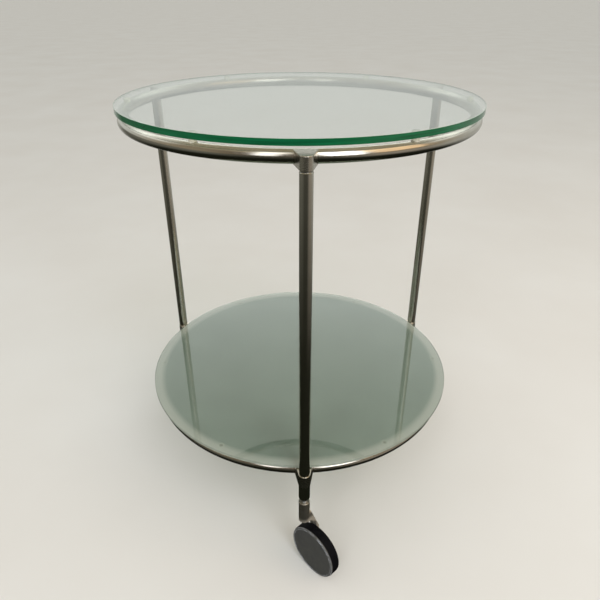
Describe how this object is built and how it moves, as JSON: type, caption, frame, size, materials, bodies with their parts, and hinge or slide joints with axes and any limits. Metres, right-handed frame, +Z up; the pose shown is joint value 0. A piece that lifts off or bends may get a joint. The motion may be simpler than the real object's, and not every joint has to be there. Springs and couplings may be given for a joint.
{
  "type": "rolling side table",
  "caption": "Round two-tier side table: clear glass top and frosted glass shelf on nickel tube hoops, tubular legs and single-wheel casters.",
  "frame": {"origin": "on the floor, on the vertical axis through the middle of both glass plates", "axes": "+Z up; the front leg stands on -Y; +X to the right when looking along +Y"},
  "size_m": [0.5227, 0.5628, 0.64],
  "materials": {
    "satin_nickel_tube": "satin nickel plate",
    "satin_nickel_casting": "satin nickel plate",
    "zinc_steel": "zinc plate",
    "clear_glass": "polished, toughened",
    "frosted_glass": "polished above, frosted below",
    "clear_silicone": "clear",
    "grey_plastic": "satin",
    "black_plastic": "satin",
    "black_tyre": "satin rubber"
  },
  "bodies": {
    "frame": {"top_glass": "clear_glass", "shelf_glass": "frosted_glass", "top_hoop": "satin_nickel_tube", "shelf_hoop": "satin_nickel_tube", "top_bumpers": "clear_silicone", "shelf_bumpers": "clear_silicone", "top_bracket_front": "satin_nickel_casting", "shelf_bracket_front": "satin_nickel_casting", "leg_tube_front": "satin_nickel_tube", "caster_sleeve_front": "satin_nickel_tube", "caster_stem_front": "zinc_steel", "top_bracket_rear_right": "satin_nickel_casting", "shelf_bracket_rear_right": "satin_nickel_casting", "leg_tube_rear_right": "satin_nickel_tube", "caster_sleeve_rear_right": "satin_nickel_tube", "caster_stem_rear_right": "zinc_steel", "top_bracket_rear_left": "satin_nickel_casting", "shelf_bracket_rear_left": "satin_nickel_casting", "leg_tube_rear_left": "satin_nickel_tube", "caster_sleeve_rear_left": "satin_nickel_tube", "caster_stem_rear_left": "zinc_steel", "leg_studs": "zinc_steel", "leg_top_inserts": "zinc_steel", "leg_bottom_inserts": "zinc_steel", "thrust_washers": "zinc_steel"},
    "swivel_front": {"caster_arm_front": "satin_nickel_casting", "swivel_pin_front": "zinc_steel", "axle_front": "zinc_steel", "axle_retainer_front": "zinc_steel"},
    "wheel_front": {"wheel_core_front": "black_plastic", "tyre_front": "black_tyre", "wheel_cap_front": "grey_plastic"},
    "swivel_rear_right": {"caster_arm_rear_right": "satin_nickel_casting", "swivel_pin_rear_right": "zinc_steel", "axle_rear_right": "zinc_steel", "axle_retainer_rear_right": "zinc_steel"},
    "wheel_rear_right": {"wheel_core_rear_right": "black_plastic", "tyre_rear_right": "black_tyre", "wheel_cap_rear_right": "grey_plastic"},
    "swivel_rear_left": {"caster_arm_rear_left": "satin_nickel_casting", "swivel_pin_rear_left": "zinc_steel", "axle_rear_left": "zinc_steel", "axle_retainer_rear_left": "zinc_steel"},
    "wheel_rear_left": {"wheel_core_rear_left": "black_plastic", "tyre_rear_left": "black_tyre", "wheel_cap_rear_left": "grey_plastic"}
  },
  "joints": [
    {"name": "swivel_front", "type": "hinge", "parent": "frame", "child": "swivel_front", "pos_m": [0, -0.2635, 0.1327], "axis": [0, 0, 1], "continuous": true},
    {"name": "wheel_front", "type": "hinge", "parent": "swivel_front", "child": "wheel_front", "pos_m": [0.01354, -0.27822, 0.041], "axis": [-0.7361, -0.6769, 0], "continuous": true},
    {"name": "swivel_rear_right", "type": "hinge", "parent": "frame", "child": "swivel_rear_right", "pos_m": [0.2282, 0.13175, 0.1327], "axis": [0, 0, 1], "continuous": true},
    {"name": "wheel_rear_right", "type": "hinge", "parent": "swivel_rear_right", "child": "wheel_rear_right", "pos_m": [0.2385, 0.11461, 0.041], "axis": [-0.8572, -0.515, 0], "continuous": true},
    {"name": "swivel_rear_left", "type": "hinge", "parent": "frame", "child": "swivel_rear_left", "pos_m": [-0.2282, 0.13175, 0.1327], "axis": [0, 0, 1], "continuous": true},
    {"name": "wheel_rear_left", "type": "hinge", "parent": "swivel_rear_left", "child": "wheel_rear_left", "pos_m": [-0.21244, 0.11944, 0.041], "axis": [-0.6157, -0.788, 0], "continuous": true}
  ]
}
